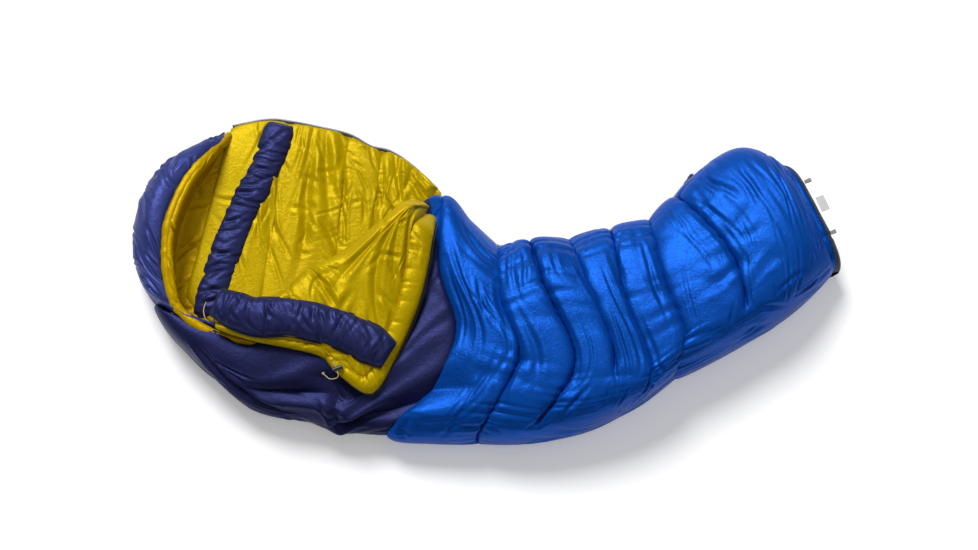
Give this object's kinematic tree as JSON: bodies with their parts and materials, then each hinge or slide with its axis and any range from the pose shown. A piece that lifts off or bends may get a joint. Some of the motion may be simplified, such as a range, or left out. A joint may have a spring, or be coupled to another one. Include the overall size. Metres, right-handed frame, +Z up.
{
  "type": "mummy sleeping bag",
  "caption": "Down-filled mummy sleeping bag lying half open: hood, draft collar, curved baffled body, and the zipped corner of its top folded back on a hinge.",
  "frame": {"origin": "on the floor, under the middle of the bag's bounding box", "axes": "+X from the hood to the foot, +Y towards the zip side, +Z up"},
  "size_m": [1.9917, 0.967, 0.2278],
  "materials": {
    "royal_blue": "downproof nylon, slight sheen",
    "navy": "downproof nylon, slight sheen",
    "yellow": "soft nylon lining, slight sheen",
    "down": "loose down clusters",
    "black_tape": "woven tape, matte",
    "black_plastic": "moulded, satin",
    "slider_metal": "black enamel",
    "spring_steel": "drawn wire",
    "webbing": "woven webbing",
    "label_white": "satin ribbon",
    "cord_yellow": "braided cord"
  },
  "bodies": {
    "bag": {"back_shell_body": "royal_blue", "back_shell_shoulder": "navy", "back_lining": "yellow", "hood_back_lining": "yellow", "hood_back_down": "down", "body_shell": "royal_blue", "body_lining": "yellow", "shoulder_shell": "navy", "shoulder_lining": "yellow", "shoulder_down_1": "down", "shoulder_down_2": "down", "foot_end_shell": "royal_blue", "foot_end_down": "down", "foot_piping": "black_tape", "hood_shell": "navy", "hood_down": "down", "hood_lining": "yellow", "hood_edge_binding": "black_tape", "back_collar": "navy", "back_zip_tape": "black_tape", "back_zip_coil": "black_plastic", "closed_zip_coil": "black_plastic", "closed_zip_tape": "black_tape", "collar_drawcord": "cord_yellow", "back_down_1": "down", "back_down_2": "down", "back_down_3": "down", "back_down_4": "down", "back_down_5": "down", "back_down_6": "down", "body_down_1": "down", "body_down_2": "down", "body_down_3": "down", "body_down_4": "down", "body_down_5": "down", "body_down_6": "down", "body_down_7": "down"},
    "flap": {"flap_shell": "navy", "flap_down": "down", "flap_lining": "yellow", "flap_collar": "navy", "flap_draft_tube": "yellow", "flap_zip_tape": "black_tape", "flap_zip_coil": "black_plastic", "hood_drawcord": "cord_yellow"},
    "upper_slider": {"upper_slider": "slider_metal"},
    "upper_slider_pull": {"upper_slider_pull": "slider_metal"},
    "lower_slider": {"lower_slider": "slider_metal"},
    "lower_slider_pull": {"lower_slider_pull": "slider_metal"},
    "hood_cord_lock": {"hood_cord_lock": "black_plastic", "hood_cord_lock_spring": "spring_steel"},
    "hood_cord_lock_button": {"hood_cord_lock_button": "black_plastic"},
    "collar_cord_lock": {"collar_cord_lock": "black_plastic", "collar_cord_lock_spring": "spring_steel"},
    "collar_cord_lock_button": {"collar_cord_lock_button": "black_plastic"},
    "hang_loop_1": {"hang_loop_1": "webbing"},
    "hang_loop_2": {"hang_loop_2": "webbing"},
    "care_label": {"care_label": "label_white"}
  },
  "joints": [
    {"name": "flap_fold", "type": "hinge", "parent": "bag", "child": "flap", "pos_m": [-0.1309, 0.2415, 0.16], "axis": [-0.8838, -0.4679, 0], "range_deg": [0, 176]},
    {"name": "upper_slider_run", "type": "slide", "parent": "bag", "child": "upper_slider", "axis": [0.7233, -0.6905, 0], "range_m": [0, 0.15]},
    {"name": "upper_pull_turn", "type": "hinge", "parent": "upper_slider", "child": "upper_slider_pull", "pos_m": [-0.10844, 0.24608, 0.0469], "axis": [-0.6905, -0.7233, 0], "range_deg": [0, 165]},
    {"name": "lower_slider_run", "type": "slide", "parent": "bag", "child": "lower_slider", "axis": [-0.6336, -0.7736, 0], "range_m": [0, 0.11]},
    {"name": "lower_pull_turn", "type": "hinge", "parent": "lower_slider", "child": "lower_slider_pull", "pos_m": [0.59419, 0.31197, 0.0469], "axis": [-0.7736, 0.6336, 0], "range_deg": [0, 165]},
    {"name": "hood_lock_run", "type": "slide", "parent": "flap", "child": "hood_cord_lock", "axis": [0.361, -0.9326, 0], "range_m": [-0.008, 0.004]},
    {"name": "hood_lock_button_press", "type": "slide", "parent": "hood_cord_lock", "child": "hood_cord_lock_button", "axis": [0.9326, 0.361, 0], "range_m": [0, 0.004], "stiffness_N_per_m": 200, "springref_m": -0.003, "deforming": ["hood_cord_lock_spring"]},
    {"name": "collar_lock_run", "type": "slide", "parent": "bag", "child": "collar_cord_lock", "axis": [0.9371, -0.3489, 0], "range_m": [-0.006, 0.002]},
    {"name": "collar_lock_button_press", "type": "slide", "parent": "collar_cord_lock", "child": "collar_cord_lock_button", "axis": [0.3489, 0.9371, 0], "range_m": [0, 0.004], "stiffness_N_per_m": 200, "springref_m": -0.003, "deforming": ["collar_cord_lock_spring"]},
    {"name": "hang_loop_1_bend", "type": "hinge", "parent": "bag", "child": "hang_loop_1", "pos_m": [0.91137, 0.26949, 0.1288], "axis": [-0.3883, 0.9215, 0], "range_deg": [-60, 60], "stiffness_Nm_per_rad": 0.004},
    {"name": "hang_loop_2_bend", "type": "hinge", "parent": "bag", "child": "hang_loop_2", "pos_m": [0.9764, 0.11715, 0.13055], "axis": [-0.3883, 0.9215, 0], "range_deg": [-60, 60], "stiffness_Nm_per_rad": 0.004},
    {"name": "care_label_bend", "type": "hinge", "parent": "bag", "child": "care_label", "pos_m": [0.94677, 0.19828, 0.13924], "axis": [-0.3883, 0.9215, 0], "range_deg": [-60, 60], "stiffness_Nm_per_rad": 0.004}
  ]
}
